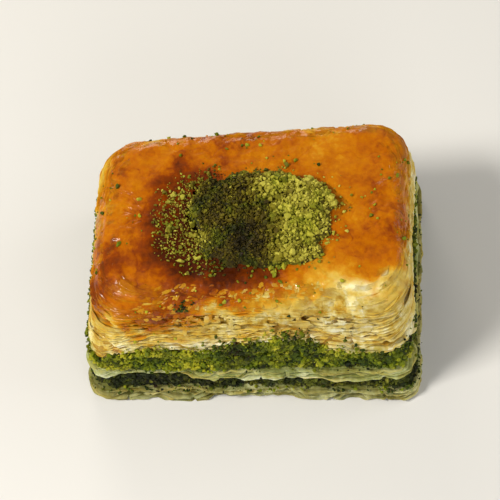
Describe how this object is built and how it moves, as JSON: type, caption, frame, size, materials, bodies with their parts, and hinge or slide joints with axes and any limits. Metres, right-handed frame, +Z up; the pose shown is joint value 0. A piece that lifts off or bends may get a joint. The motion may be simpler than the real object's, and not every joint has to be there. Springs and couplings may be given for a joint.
{
  "type": "baklava piece",
  "caption": "Rectangular piece of layered pastry with ground pistachio between the sheets, a browned rounded top and a heap of ground pistachio on it.",
  "frame": {"origin": "under the middle of the piece's bounding box, on the plane that it stands on", "axes": "+X along the long side of the front, from left to right, +Y from the front to the back, +Z up through the layers"},
  "size_m": [0.0508, 0.0372, 0.0277],
  "materials": {
    "bottom_sheets": "syrup-soaked pale pastry sheets, satin",
    "lower_nuts": "dark moist ground pistachio, matt",
    "middle_sheets": "pale grey-green pastry sheets, satin",
    "upper_nuts": "ground pistachio, green, matt",
    "browned_top_sheets": "syrup-glazed browned pastry, glossy on top and cream at the sides",
    "heap_nuts": "finely ground pistachio, olive green, matt"
  },
  "bodies": {
    "root": {"bottom_pastry": "bottom_sheets", "lower_pistachio": "lower_nuts", "middle_pastry": "middle_sheets", "upper_pistachio": "upper_nuts", "top_pastry": "browned_top_sheets", "pistachio_heap": "heap_nuts"}
  },
  "joints": []
}
